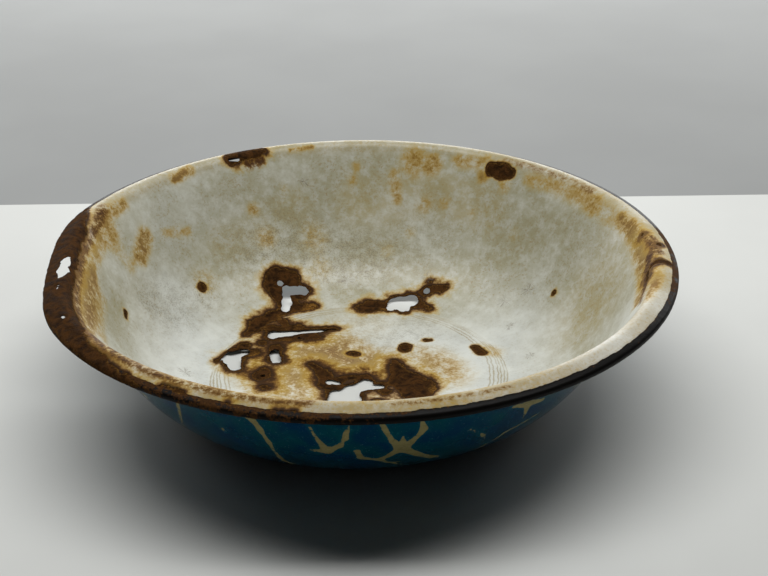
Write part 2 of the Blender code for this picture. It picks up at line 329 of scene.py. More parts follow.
def stroke_pairs(chain):
    return list(zip(chain, chain[1:])) or [(chain[0], chain[0])]


def distance(x, y, strokes, merge):
    """Distance to the nearest stroke, negative inside, with the joins rounded off."""
    total = np.full(np.shape(x), 1e-30)
    for chain in strokes:
        for a, b in stroke_pairs(chain):
            total += np.exp(-dab_distance(x, y, a, b) / merge)
    return -merge * np.log(total)


def soak(x, y, strokes, spread):
    """Strength from 0 to 1 of soft marks that fade out over this share of their width."""
    clear = np.ones(np.shape(x))
    for *chain, strength in strokes:
        nearest = np.full(np.shape(x), 1e9)
        width = max(dab[2] for dab in chain) * spread + 2.0
        for a, b in stroke_pairs(chain):
            nearest = np.minimum(nearest, dab_distance(x, y, a, b))
        clear *= 1 - strength * fade(nearest, -width * 0.5, width * 0.7)
    return 1 - clear


def hole_field(x, y):
    """Distance to the rust holes through the sheet, negative inside them."""
    return distance(x, y, HOLES, 0.6) + ragged(x, y, 0.75, 11)


def rusted_field(x, y):
    """Distance to the rusted patches and the flaked edges of the holes, negative inside them."""
    flaked = distance(x, y, HOLES, 0.6) - 1.6
    strokes = distance(x, y, BARE, 1.0)
    joined = -1.0 * np.log(np.exp(-flaked / 1.0) + np.exp(-strokes / 1.0) + 1e-30)
    return joined + ragged(x, y, 1.25, 23)


def chip_field(x, y):
    return distance(x, y, CHIPS, 0.5) + ragged(x, y, 0.45, 29)


def bare_field(x, y):
    """Distance to where the white and dark coats have come away, negative there."""
    return np.minimum(rusted_field(x, y), chip_field(x, y))


def stained_field(x, y):
    """Distance to the rust that stains the coat round it. Chips count as further off than they are."""
    return np.minimum(rusted_field(x, y), 3.0 * chip_field(x, y))


HEM_BACK = 2.3          # how much further in the white stops at the back
HEM_MARGIN = 1.2        # points laid out past the line where white meets dark


def hem_field(x, y, edge):
    """Distance inward from the line on the lip where white meets dark, further in at the back."""
    waver = 0.35 * lumps(x, y, 5.0, 41) + 0.2 * lumps(x, y, 1.6, 42)
    return edge - HEM_BACK * ease(y, 20, 130) - np.hypot(x, y) + waver


# ------------------------------------------------------------------ section of the sheet

def on_axis(radius, turn, height):
    """Metres of points given in millimetres round the basin's own axis."""
    return np.stack([radius * np.cos(turn) + AXIS_X * PER_MM, radius * np.sin(turn), height], axis=1) * MM


class Section:
    """Middle of the sheet from the axis to the end of the curl, in millimetres."""

    def __init__(self, sheet, sink=0.0):
        self.sink = sink * PER_MM
        rim = sheet.rim_radius * PER_MM
        bead_height = sheet.bead_height * PER_MM
        bead_radius = sheet.bead_radius * PER_MM
        self.half = (sheet.steel_thickness / 2 + sheet.coat_thickness) * PER_MM
        self.steel = sheet.steel_thickness * PER_MM
        self.coat = sheet.coat_thickness * PER_MM
        self.bead = (rim - bead_radius, bead_height)
        self.dent_depth = sheet.dent_depth * PER_MM
        self.dent_azimuth = sheet.dent_azimuth
        self.dent_span = sheet.dent_half_span
        self.dent_reach = sheet.dent_reach_down * PER_MM

        lip_radius = sheet.lip_radius * PER_MM
        arch = (rim - sheet.lip_inset * PER_MM,
                bead_height + (sheet.lip_rise - sheet.lip_radius) * PER_MM)
        arch_radius = lip_radius - self.half
        curl_radius = bead_radius - self.half
        across, drop = self.bead[0] - arch[0], self.bead[1] - arch[1]
        slope = math.atan2(drop, across) - math.asin((arch_radius - curl_radius) / math.hypot(across, drop))

        floor = sheet.floor_rise * PER_MM + self.half
        inner, outer = sheet.foot_inner * PER_MM, sheet.foot_outer * PER_MM
        shoulder = np.linspace(0, 1, 12)
        width = sheet.shoulder_width * PER_MM
        path = [(r, floor) for r in np.linspace(0, inner - width, 60)[:-1]]
        path += [(inner - width + t * width, floor + (self.half - floor) * t * t * (3 - 2 * t))
                 for t in shoulder]
        path += [(r, self.half) for r in np.linspace(inner, outer, 8)[1:-1]]

        wall_turn = math.pi / 2 + sheet.wall_slope
        top = (arch[0] + arch_radius * math.cos(wall_turn), arch[1] + arch_radius * math.sin(wall_turn))
        pull = sheet.wall_pull * PER_MM
        corners = ((outer, self.half),
                   (outer + sheet.cove_reach * PER_MM, self.half + sheet.cove_lift * PER_MM),
                   (top[0] - pull * math.cos(sheet.wall_slope), top[1] - pull * math.sin(sheet.wall_slope)),
                   top)
        for t in np.linspace(0, 1, 80)[:-1]:
            weights = ((1 - t) ** 3, 3 * (1 - t) ** 2 * t, 3 * (1 - t) * t * t, t ** 3)
            path.append(tuple(sum(w * c[k] for w, c in zip(weights, corners)) for k in (0, 1)))
        for turn in np.linspace(wall_turn, math.pi / 2 + slope, 16):
            path.append((arch[0] + arch_radius * math.cos(turn), arch[1] + arch_radius * math.sin(turn)))
        for turn in np.linspace(math.pi / 2 + slope, sheet.curl_end, 40):
            path.append((self.bead[0] + curl_radius * math.cos(turn),
                         self.bead[1] + curl_radius * math.sin(turn)))
        self.lay_out(np.array(path))

    def lay_out(self, path):
        """Even steps along the path, its normals, and the length along the lining's surface."""
        steps = np.append(0, np.cumsum(np.hypot(*np.diff(path, axis=0).T)))
        even = np.linspace(0, steps[-1], 1400)
        self.radius = np.interp(even, steps, path[:, 0])
        self.height = np.interp(even, steps, path[:, 1])
        tangent = np.stack([np.gradient(self.radius), np.gradient(self.height)])
        kernel = np.hanning(11) / np.hanning(11).sum()
        tangent = np.stack([np.convolve(np.pad(t, 5, mode="edge"), kernel, "valid") for t in tangent])
        tangent /= np.hypot(*tangent)
        self.normal = np.stack([-tangent[1], tangent[0]])
        surface = np.stack([self.radius, self.height]) + self.normal * self.half
        self.run = np.append(0, np.cumsum(np.hypot(*np.diff(surface, axis=1))))
        self.end = self.run[-1]

    def run_at(self, radius):
        """Length along the lining from the axis out to this radius on the lip's upper side."""
        surface = self.radius + self.normal[0] * self.half
        before_bead = int(np.argmax(self.radius + self.normal[0] * self.half))
        return float(np.interp(radius, surface[:before_bead], self.run[:before_bead]))

    def knock(self, turn):
        """How far the rim is pushed in, by direction."""
        away = np.remainder(turn - self.dent_azimuth + math.pi, 2 * math.pi) - math.pi
        return self.dent_depth * np.cos(np.clip(away / self.dent_span, -1, 1) * math.pi / 2) ** 2

    def place(self, x, y, depth):
        """Metres of the point this far below the lining's surface, with the knock in the rim."""
        run = np.hypot(x, y)
        turn = np.arctan2(y, x)
        lift = self.half - depth
        radius = np.interp(run, self.run, self.radius) + np.interp(run, self.run, self.normal[0]) * lift
        height = np.interp(run, self.run, self.height) + np.interp(run, self.run, self.normal[1]) * lift
        radius = radius - self.knock(turn) * ease(height, self.bead[1] - self.dent_reach, self.bead[1])
        height = height - self.sink * fade(distance(x, y, SUNKEN, 3.0), 0.0, 15.0)
        return on_axis(radius, turn, height)


# ------------------------------------------------------------------ cutting and rolling a coat

WALL_SPACING = 3.0
LIP_SPACING = 0.8
LIP_START = 195.0
EDGE_SPACINGS = ((4.5, 1.5), (1.7, 0.75))     # nearer the edge than this, points this far apart
GUIDE_SPACING = 4.0                           # of the rough look at a field before the fine one
HOLE_SPACING = 0.75
HOLE_BAND = 1.2                               # steel this near a hole's edge gets those points
SNAP_REACH = 0.42                             # points this near an edge are moved onto it
BEAD_SNAP_REACH = 0.3
LEAST_FACES = 14                              # smaller loose bits are left out
SMOOTH_BELOW = math.radians(55)
WIRE_AROUND, WIRE_SIDES = 360, 14


def rings(start, end, spacing, around):
    """Points on circles, spacing apart outwards and about around apart along them."""
    points = []
    count = max(1, round((end - start) / spacing))
    for k in range(count + 1):
        run = start + (end - start) * k / count
        n = max(1, round(2 * math.pi * run / around))
        turns = (np.arange(n) + 0.5 * (k % 2)) * 2 * math.pi / n
        points.append(np.stack([run * np.cos(turns), run * np.sin(turns)], axis=1))
    return np.concatenate(points)


def honeycomb(spacing, reach):
    """Evenly spread points in a disc."""
    rows = np.arange(-reach, reach, spacing * math.sqrt(3) / 2)
    columns = np.arange(-reach, reach, spacing)
    y, x = np.meshgrid(rows, columns, indexing="ij")
    x = x + (np.arange(len(rows)) % 2)[:, None] * spacing / 2
    points = np.stack([x.ravel(), y.ravel()], axis=1)
    return points[np.hypot(*points.T) < reach - spacing / 2]


def spread_points(start, end, field, wall_spacing, solid_spacing):
    """Points over the layout from start to end, closer together near the field's edge.

    solid_spacing is the spacing wherever the field is negative, or None for no such filling.
    """
    wall_end = min(end, LIP_START)
    base = [rings(start, wall_end, wall_spacing, wall_spacing)]
    if end > LIP_START:
        base.append(rings(LIP_START + LIP_SPACING, end, LIP_SPACING, 2.2))
    base = np.concatenate(base)

    near, finest = EDGE_SPACINGS
    value = field(*base.T)
    wanted = np.abs(value) > near[0]
    if solid_spacing:
        wanted &= value > 0
    kept = [base[wanted | (np.hypot(*base.T) >= end - 0.01) | (np.hypot(*base.T) <= start + 0.01)]]

    side = np.arange(-end - GUIDE_SPACING, end + GUIDE_SPACING, GUIDE_SPACING)
    guide = field(*np.meshgrid(side, side, indexing="ij"))

    def guessed(points):
        cell = np.clip(np.round((points - side[0]) / GUIDE_SPACING).astype(int), 0, len(side) - 1)
        return guide[cell[:, 0], cell[:, 1]]

    for reach, spacing in EDGE_SPACINGS:
        grid = honeycomb(spacing, end)
        grid = grid[np.hypot(*grid.T) > start + spacing / 2]
        rough = guessed(grid)
        grid = grid[(np.abs(rough) < reach + GUIDE_SPACING) | ((rough < 0) if solid_spacing else False)]
        value = field(*grid.T)
        inside = (value < 0) if solid_spacing else np.zeros(len(value), bool)
        if spacing == finest[1]:
            chosen = np.abs(value) < reach
            if solid_spacing and solid_spacing <= spacing:
                chosen |= inside
        else:
            chosen = (np.abs(value) < reach) & (np.abs(value) >= finest[0])
            if solid_spacing and solid_spacing > finest[1]:
                chosen |= inside & (np.abs(value) >= finest[0])
            elif solid_spacing:
                chosen &= ~inside
        kept.append(grid[chosen])
    return np.concatenate(kept)


def snap_to_edge(points, field, start, end, nearer_than):
    """Moves the points that lie just beside the field's edge onto it."""
    step = 0.05
    run = np.hypot(*points.T)
    value = field(*points.T)
    near = (np.abs(value) < nearer_than) & (run > start + 0.1) & (run < end - 0.1)
    moved = points[near]
    for _ in range(2):
        here = field(*moved.T)
        dx = (field(moved[:, 0] + step, moved[:, 1]) - here) / step
        dy = (field(moved[:, 0], moved[:, 1] + step) - here) / step
        pull = np.clip(here / (dx * dx + dy * dy + 0.15), -nearer_than, nearer_than)
        moved = moved - np.stack([dx * pull, dy * pull], axis=1)
    points = points.copy()
    points[near] = moved
    return points


def without_crumbs(triangles, count, least):
    """The triangles less those in loose bits of fewer than least triangles."""
    label = np.arange(count)
    while True:
        low = label[triangles].min(axis=1)
        after = label.copy()
        for k in range(3):
            np.minimum.at(after, triangles[:, k], low)
        after = after[after]
        if np.array_equal(after, label):
            break
        label = after
    bits, size = np.unique(label[triangles[:, 0]], return_counts=True)
    return triangles[np.isin(label[triangles[:, 0]], bits[size >= least])]


def open_edges(triangles):
    """Directed edges of the triangles that no other triangle shares."""
    edges = np.concatenate([triangles[:, [0, 1]], triangles[:, [1, 2]], triangles[:, [2, 0]]])
    forward = {(a, b) for a, b in edges.tolist()}
    return np.array([(a, b) for a, b in sorted(forward) if (b, a) not in forward])


def new_piece(name, places, faces):
    """An object with this mesh, linked to the scene."""
    mesh = bpy.data.meshes.new(name)
    mesh.from_pydata(places, [], faces)
    piece = bpy.data.objects.new(name, mesh)
    bpy.context.scene.collection.objects.link(piece)
    return piece


def rolled_layer(name, section, points, keep, upper, lower, readings):
    """A closed layer of the sheet, cut to where keep is positive and rolled into the basin."""
    laid = delaunay_2d_cdt([Vector(p) for p in points.tolist()], [], [], 0, 1e-5)
    spots = np.array([tuple(v) for v in laid[0]])
    triangles = np.array(laid[2])
    middle = spots[triangles].mean(axis=1)
    triangles = triangles[keep(*middle.T) > 0]
    a, b, c = (spots[triangles[:, k]] for k in range(3))
    area = (b[:, 0] - a[:, 0]) * (c[:, 1] - a[:, 1]) - (b[:, 1] - a[:, 1]) * (c[:, 0] - a[:, 0])
    triangles = triangles[np.abs(area) > 1e-4]
    triangles = without_crumbs(triangles, len(spots), LEAST_FACES)
    used, triangles = np.unique(triangles, return_inverse=True)
    triangles = triangles.reshape(-1, 3)
    spots = spots[used]

    x, y = spots.T
    count = len(spots)
    outside = section.place(x, y, upper(x, y))
    inside = section.place(x, y, lower(x, y))
    rim = open_edges(triangles)
    walls = np.stack([rim[:, 1], rim[:, 0], rim[:, 0] + count, rim[:, 1] + count], axis=1)
    faces = triangles.tolist() + (triangles[:, ::-1] + count).tolist() + walls.tolist()

    piece = new_piece(name, np.concatenate([outside, inside]).tolist(), faces)
    mesh = piece.data
    mesh.validate()
    mesh.shade_smooth()
    mesh.set_sharp_from_angle(angle=SMOOTH_BELOW)
    for label, reading in readings.items():
        layer = mesh.attributes.new(label, "FLOAT", "POINT")
        layer.data.foreach_set("value", np.tile(reading(x, y), 2).astype(np.float32))
    return piece


def put_on(piece, surface, node):
    """Gives a piece its material and lets it stand for its CAD node."""
    piece.data.materials.append(surface)
    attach(piece, "root")
    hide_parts(node)


# ------------------------------------------------------------------ material building blocks

def add(tree, kind, inputs=None, **settings):
    """A node with its settings and inputs. An input is a value or a socket to link."""
    node = tree.nodes.new("ShaderNode" + kind)
    for key, value in settings.items():
        setattr(node, key, value)
    for key, value in (inputs or {}).items():
        if isinstance(value, bpy.types.NodeSocket):
            tree.links.new(value, node.inputs[key])
        else:
            node.inputs[key].default_value = value
    return node


def reading(tree, name):
    """Value painted on the mesh under this name."""
    return add(tree, "Attribute", attribute_name=name).outputs["Fac"]


def mapped(tree, scale, location):
    """Object coordinates, scaled and then shifted."""
    place = add(tree, "TexCoord").outputs["Object"]
    return add(tree, "Mapping", {"Vector": place, "Scale": scale, "Location": location}).outputs[0]


def grain(tree, size, detail=3.0, roughness=0.55, distortion=0.0, shift=0.0):
    """Noise from 0 to 1 with lumps about this many millimetres across."""
    return add(tree, "TexNoise", {
        "Vector": mapped(tree, (PER_MM,) * 3, (shift,) * 3), "Scale": 1.0 / size, "Detail": detail,
        "Roughness": roughness, "Distortion": distortion}).outputs[0]


def calc(tree, operation, a, b=0.0, clamp=False):
    return add(tree, "Math", {0: a, 1: b}, operation=operation, use_clamp=clamp).outputs[0]


def times(tree, a, b):
    return calc(tree, "MULTIPLY", a, b)


def step(tree, value, low, high, start=0.0, end=1.0):
    """Smooth change from start to end while the value goes from low to high."""
    return add(tree, "MapRange", {
        "Value": value, "From Min": low, "From Max": high, "To Min": start, "To Max": end},
        interpolation_type="SMOOTHSTEP").outputs[0]


def tint(tree, amount, under, over):
    """Colour under, covered by colour over by this amount. Each is a socket or red, green and blue."""
    under, over = (c if isinstance(c, bpy.types.NodeSocket) else (*c, 1.0) for c in (under, over))
    return add(tree, "Mix", {0: amount, 6: under, 7: over}, data_type="RGBA").outputs[2]


def bands(tree, value, *stops):
    """Colour ramp of (position, colour) stops."""
    node = add(tree, "ValToRGB", {"Fac": value})
    ramp = node.color_ramp
    while len(ramp.elements) < len(stops):
        ramp.elements.new(0.5)
    for element, (position, colour) in zip(ramp.elements, stops):
        element.position = position
        element.color = (*colour, 1.0)
    return node.outputs[0]


def bump(tree, height, distance_mm, strength=1.0, under=None):
    inputs = {"Height": height, "Distance": distance_mm * MM, "Strength": strength}
    if under:
        inputs["Normal"] = under
    return add(tree, "Bump", inputs).outputs[0]


def new_surface(name, **sockets):
    """A Principled material and its node tree, with these sockets set."""
    made = bpy.data.materials.new(name)
    made.use_nodes = True
    shader = made.node_tree.nodes["Principled BSDF"]
    for key, value in sockets.items():
        shader.inputs[key.replace("_", " ")].default_value = value
    return made, made.node_tree, shader


def connect(tree, shader, **sockets):
    for key, value in sockets.items():
        tree.links.new(value, shader.inputs[key.replace("_", " ")])


# ------------------------------------------------------------------ materials

def rust_surface(colours):
    """Scaly rust: dark crust, brown flakes, orange bloom at its edge and in spots."""
    made, tree, shader = new_surface("rusted_steel", Roughness=0.9, Specular_IOR_Level=0.02)
    flakes = grain(tree, 5.0, 5.0, 0.62, 0.4)
    specks = grain(tree, 1.1, 4.0, 0.7)
    streaks = grain(tree, 2.4, 3.0, 0.6, 1.2, shift=40.0)
    crust = bands(tree, flakes, (0.34, colours.rust_black), (0.47, colours.rust_dark),
                  (0.60, colours.rust_brown), (0.74, colours.rust_dark))
    crust = tint(tree, step(tree, specks, 0.54, 0.72, 0.0, 0.4), crust, colours.rust_brown)
    crust = tint(tree, step(tree, streaks, 0.60, 0.74, 0.0, 0.8), crust, colours.rust_black)
    edge = calc(tree, "ADD", reading(tree, "to_coat"), step(tree, flakes, 0.2, 0.8, -0.9, 0.9))
    warm = step(tree, edge, 1.9, -0.2, 0.0, 0.55)
    spot = times(tree, reading(tree, "orange"), step(tree, specks, 0.25, 0.6))
    bloom = calc(tree, "MAXIMUM", times(tree, warm, step(tree, specks, 0.35, 0.62)), spot)
    orange = bands(tree, specks, (0.30, colours.rust_brown), (0.55, colours.rust_orange),
                   (0.80, colours.rust_ochre))
    colour = tint(tree, bloom, crust, orange)
    relief = bump(tree, grain(tree, 2.2, 6.0, 0.7), 0.55, 0.9)
    relief = bump(tree, specks, 0.25, 0.8, relief)
    connect(tree, shader, Base_Color=colour, Normal=relief,
            Roughness=step(tree, flakes, 0.3, 0.7, 0.62, 0.95))
    return made


def craze_star(tree, middle, reach):
    """Fine cracks that run out from one point."""
    centre = mapped(tree, (PER_MM,) * 3, tuple(-c * PER_MM for c in middle))
    away = add(tree, "VectorMath", {0: centre}, operation="LENGTH").outputs["Value"]
    direction = add(tree, "VectorMath", {0: centre}, operation="NORMALIZE").outputs["Vector"]
    rays = add(tree, "TexNoise", {"Vector": direction, "Scale": 3.2, "Detail": 2.0}).outputs[0]
    crack = step(tree, calc(tree, "ABSOLUTE", calc(tree, "SUBTRACT", rays, 0.5)), 0.0, 0.055, 1.0, 0.0)
    wander = calc(tree, "ADD", away, step(tree, grain(tree, 1.5), 0.2, 0.8, -2.0, 2.0))
    return times(tree, crack, step(tree, wander, reach * 0.35, reach, 1.0, 0.0))


def white_surface(colours, section):
    """Milk white enamel with brown bleeding from the rust, ochre soaking and pepper marks."""
    made, tree, shader = new_surface("white_enamel", Roughness=0.35, Specular_IOR_Level=0.35)
    cloud = grain(tree, 26.0, 4.0, 0.6)
    blotch = grain(tree, 6.0, 5.0, 0.68)
    fine = grain(tree, 1.6, 4.0, 0.72)
    dust = grain(tree, 0.8, 3.0, 0.7, shift=17.0)
    colour = tint(tree, step(tree, cloud, 0.35, 0.68), colours.white, colours.white_grey)
    colour = tint(tree, step(tree, blotch, 0.48, 0.70, 0.0, 0.45), colour, colours.white_grey)

    # darker beige over the walls at the back, right and left, broken up by grain
    film = times(tree, reading(tree, "film"), step(tree, blotch, 0.28, 0.62, 0.55, 1.0))
    film = times(tree, film, step(tree, cloud, 0.3, 0.6, 0.75, 1.0))
    colour = tint(tree, film, colour, colours.film)
    freckle = times(tree, step(tree, fine, 0.51, 0.66), step(tree, cloud, 0.38, 0.60, 0.25, 1.0))
    freckle = times(tree, freckle, step(tree, reading(tree, "film"), 0.0, 1.0, 0.25, 0.75))
    colour = tint(tree, freckle, colour, colours.freckle)

    # painted shade: dark lines at the edge of the raised floor stand in for the shade of its pressed
    # ridges, in colour only
    flat = mapped(tree, (PER_MM, PER_MM, 0.0), (-AXIS_X * PER_MM, 0.0, 0.0))
    reach = add(tree, "VectorMath", {0: flat}, operation="LENGTH").outputs["Value"]
    reach = calc(tree, "ADD", reach, step(tree, blotch, 0.3, 0.7, -0.5, 0.5))
    # here this holds the painted shade lines, not wear
    wear_and_shade_lines = None
    for radius in SHADE_LINE_RADII:
        off = calc(tree, "ABSOLUTE", calc(tree, "SUBTRACT", reach, radius))
        ring = step(tree, off, 0.1, 0.6, 1.0, 0.0)
        wear_and_shade_lines = calc(tree, "MAXIMUM", wear_and_shade_lines, ring) if wear_and_shade_lines else ring
    wear_and_shade_lines = times(tree, wear_and_shade_lines, step(tree, cloud, 0.36, 0.56, 0.15, 0.7))
    # painted shade lines laid over the enamel in the freckle colour
    colour = tint(tree, wear_and_shade_lines, colour, colours.freckle)

    # yellowed lip
    cream = times(tree, reading(tree, "cream"), step(tree, blotch, 0.25, 0.6, 0.6, 1.0))
    colour = tint(tree, cream, colour, colours.cream)
    grit = times(tree, step(tree, fine, 0.50, 0.62, 0.0, 0.6), reading(tree, "cream"))
    colour = tint(tree, grit, colour, colours.ochre)

    # soft ochre soaking, broken up by grain
    soak_amount = reading(tree, "soak")
    soaked = times(tree, soak_amount, step(tree, blotch, 0.30, 0.64, 0.50, 1.20))
    soaked = calc(tree, "ADD", soaked, times(tree, soak_amount,
                                            step(tree, fine, 0.35, 0.65, -0.16, 0.16)))
    ochre = bands(tree, soaked, (0.10, colours.ochre_pale), (0.60, colours.ochre),
                  (1.10, colours.ochre_brown))
    colour = tint(tree, step(tree, soaked, 0.0, 0.9, 0.0, 0.92), colour, ochre)

    # pepper marks
    pepper = calc(tree, "ADD", step(tree, dust, 0.47, 0.60), step(tree, blotch, 0.35, 0.65, -0.7, 0.15),
                  clamp=True)
    pepper = times(tree, pepper, reading(tree, "pepper"))
    colour = tint(tree, times(tree, pepper, 0.8), colour, colours.pepper)

    # brown that bleeds out of the rust
    gap = times(tree, reading(tree, "to_bare"), step(tree, blotch, 0.30, 0.66, 1.55, 0.7))
    gap = times(tree, gap, step(tree, soak_amount, 0.0, 0.8, 1.15, 0.6))
    gap = calc(tree, "ADD", gap, step(tree, fine, 0.3, 0.7, 0.4, -0.4))
    bleed = bands(tree, step(tree, gap, 0.0, 9.0), (0.0, colours.rust_dark), (0.05, colours.rust_brown),
                  (0.14, colours.ochre_brown), (0.34, colours.ochre), (0.8, colours.ochre_pale))
    colour = tint(tree, step(tree, gap, 0.9, 8.5, 1.0, 0.0), colour, bleed)

    # grime on the lip
    grime_amount = reading(tree, "grime")
    grime = times(tree, grime_amount, step(tree, blotch, 0.30, 0.64, 0.45, 1.35))
    grime = calc(tree, "ADD", grime, times(tree, grime_amount,
                                          step(tree, fine, 0.35, 0.65, -0.30, 0.30)))
    dirt = bands(tree, grime, (0.1, colours.ochre), (0.5, colours.ochre_brown), (1.1, colours.rust_brown))
    colour = tint(tree, step(tree, grime, 0.08, 0.75), colour, dirt)

    cracks = None
    for x, y, reach in CRAZE_STARS:
        middle = section.place(np.array([x]), np.array([y]), np.array([0.0]))[0]
        star = craze_star(tree, tuple(float(c) for c in middle), float(reach))
        cracks = calc(tree, "MAXIMUM", cracks, star) if cracks else star
    colour = tint(tree, times(tree, cracks, 0.85), colour, colours.pepper)

    dull = calc(tree, "MAXIMUM", soaked, step(tree, gap, 6.0, 0.0), clamp=True)
    dull = calc(tree, "MAXIMUM", dull, reading(tree, "cream"))
    rough = calc(tree, "ADD", step(tree, dull, 0.0, 1.0, 0.32, 0.62), step(tree, fine, 0.4, 0.7, 0.0, 0.12))
    relief = bump(tree, grain(tree, 9.0, 2.0), 0.10, 0.5)
    relief = bump(tree, fine, 0.04, 0.5, relief)
    relief = bump(tree, calc(tree, "SUBTRACT", 1.0, cracks), 0.03, 0.6, relief)
    connect(tree, shader, Base_Color=colour, Roughness=rough, Normal=relief,
            Specular_IOR_Level=step(tree, dull, 0.0, 0.8, 0.4, 0.08))
    return made


def blue_surface(colours):
    """Glassy blue enamel clouded with teal, crossed by cream veins."""
    made, tree, shader = new_surface("blue_enamel", Roughness=0.2, Specular_IOR_Level=0.35)
    cloud = grain(tree, 22.0, 4.0, 0.6, 0.6)
    swirl = grain(tree, 7.0, 3.0, 0.6, 1.5)
    fine = grain(tree, 1.2, 3.0, 0.6)
    colour = tint(tree, step(tree, cloud, 0.36, 0.64), colours.blue, colours.teal)
    colour = tint(tree, step(tree, swirl, 0.56, 0.72, 0.0, 0.5), colour, colours.teal_pale)
    vein = calc(tree, "ADD", reading(tree, "to_vein"), step(tree, fine, 0.3, 0.7, -0.15, 0.15))
    halo = step(tree, vein, 0.1, 2.6, 0.35, 0.0)
    colour = tint(tree, halo, colour, colours.teal_pale)
    cream = tint(tree, step(tree, swirl, 0.4, 0.7, 0.0, 0.6), colours.vein, colours.vein_dull)
    colour = tint(tree, step(tree, vein, 0.22, -0.22), colour, cream)
    rust_gap = calc(tree, "ADD", reading(tree, "to_bare"), step(tree, fine, 0.3, 0.7, 1.5, -1.5))
    colour = tint(tree, step(tree, rust_gap, 0.3, 4.0, 1.0, 0.0), colour, colours.rust_dark)
    specks = step(tree, grain(tree, 2.0, 3.0, 0.6, shift=9.0), 0.70, 0.76, 0.0, 0.8)
    colour = tint(tree, specks, colour, colours.rust_dark)
    relief = bump(tree, grain(tree, 12.0, 2.0), 0.12, 0.5)
    relief = bump(tree, step(tree, vein, 0.6, -0.6), 0.06, 0.8, relief)
    connect(tree, shader, Base_Color=colour, Normal=relief,
            Roughness=step(tree, fine, 0.35, 0.75, 0.10, 0.30))
    return made


def dark_surface(colours):
    """Brown-black enamel of the rolled edge, rubbed through to brown in places."""
    made, tree, shader = new_surface("dark_enamel", Roughness=0.5, Specular_IOR_Level=0.07)
    blotch = grain(tree, 5.0, 5.0, 0.65)
    fine = grain(tree, 1.1, 4.0, 0.7)
    wear_and_shade_lines = calc(tree, "ADD", reading(tree, "wear_and_shade_lines"), step(tree, blotch, 0.3, 0.7, -0.4, 0.4))
    wear_and_shade_lines = calc(tree, "ADD", wear_and_shade_lines, step(tree, fine, 0.3, 0.7, -0.2, 0.2))
    brown = bands(tree, fine, (0.35, colours.rust_dark), (0.6, colours.rust_brown),
                  (0.8, colours.ochre_brown))
    colour = tint(tree, step(tree, wear_and_shade_lines, 0.45, 0.8), colours.dark, brown)
    relief = bump(tree, blotch, 0.12, 0.6)
    relief = bump(tree, fine, 0.05, 0.7, relief)
    connect(tree, shader, Base_Color=colour, Normal=relief,
            Roughness=step(tree, wear_and_shade_lines, 0.3, 0.9, 0.42, 0.85))
    return made


# ------------------------------------------------------------------ settings a user can change

def length(name, description, default):
    return FloatProperty(name=name, description=description, default=default, min=0.0,
                         unit="LENGTH", precision=5)


def angle(name, description, degrees):
    return FloatProperty(name=name, description=description, default=math.radians(degrees),
                         subtype="ANGLE")


def colour(name, description, default):
    return FloatVectorProperty(name=name, description=description, default=default, size=3,
                               min=0.0, max=1.0, subtype="COLOR")


class BasinSheet(PropertyGroup):
    """Shape of the pressed sheet and the thickness of its coats."""
    rim_radius: length("Rim radius", "Outer edge of the bead", RIM_RADIUS)
    bead_height: length("Bead height", "Middle of the bead above the table", BEAD_HEIGHT)
    bead_radius: length("Bead radius", "Outside of the finished bead", BEAD_RADIUS)
    wire_radius: length("Wire radius", "Wire inside the bead", WIRE_RADIUS)
    steel_thickness: length("Steel", "Thickness of the sheet", 0.0007)
    coat_thickness: length("Coat", "Thickness of each enamel coat", 0.0003)
    floor_rise: length("Floor rise", "Underside of the raised floor above the table", 0.0021)
    foot_inner: length("Foot inside", "Inner radius of the foot ring", 0.0855)
    foot_outer: length("Foot outside", "Outer radius of the foot ring", 0.090)
    shoulder_width: length("Shoulder", "Run of the step up to the raised floor", 0.0035)
    cove_reach: length("Cove reach", "How far the cove runs out before it climbs", 0.044)
    cove_lift: length("Cove lift", "How far the cove climbs over that run", 0.009)
    wall_pull: length("Wall pull", "Nearly straight stretch below the lip", 0.037)
    wall_slope: angle("Wall slope", "Slope where the wall meets the lip", 55)
    lip_radius: length("Lip radius", "Radius of the lip's arch", 0.0063)
    lip_inset: length("Lip inset", "Crest of the lip in from the rim", 0.0097)
    lip_rise: length("Lip rise", "Crest of the lip above the bead's middle", 0.005)
    white_inset: length("White inset", "Edge of the white coat in from the rim", 0.0037)
    curl_end: angle("Curl end", "Where the curled sheet stops", -180)
    dark_end: angle("Dark end", "Where the dark coat stops on the curl", -170)
    dent_depth: length("Dent depth", "Knock in the rim", 0.0057)
    dent_azimuth: angle("Dent azimuth", "Direction of the knock from +X", 183)
    dent_half_span: angle("Dent half span", "Half the angle that the knock covers", 26.5)
    dent_reach_down: length("Dent reach", "How far below the bead the knock goes", 0.046)


class BasinWear(PropertyGroup):
    """How far rust and chipping have changed the sheet."""
    swell: length("Rust swell", "Height of rust lumps above the bare steel", 0.00034)
    pit: length("Rust pits", "Depth of rust pits", 0.00025)
    thinning: length("Thinning", "Steel lost from each side at the edge of a hole", 0.00022)
    chip: length("Chipped edge", "How far the coat's edge is rounded down", 0.00012)
    blue_flake: length("Blue flake", "How far the blue coat has left the holes", 0.0011)
    sink: length("Sink", "How far the floor has sunk round its holes", 0.00175)


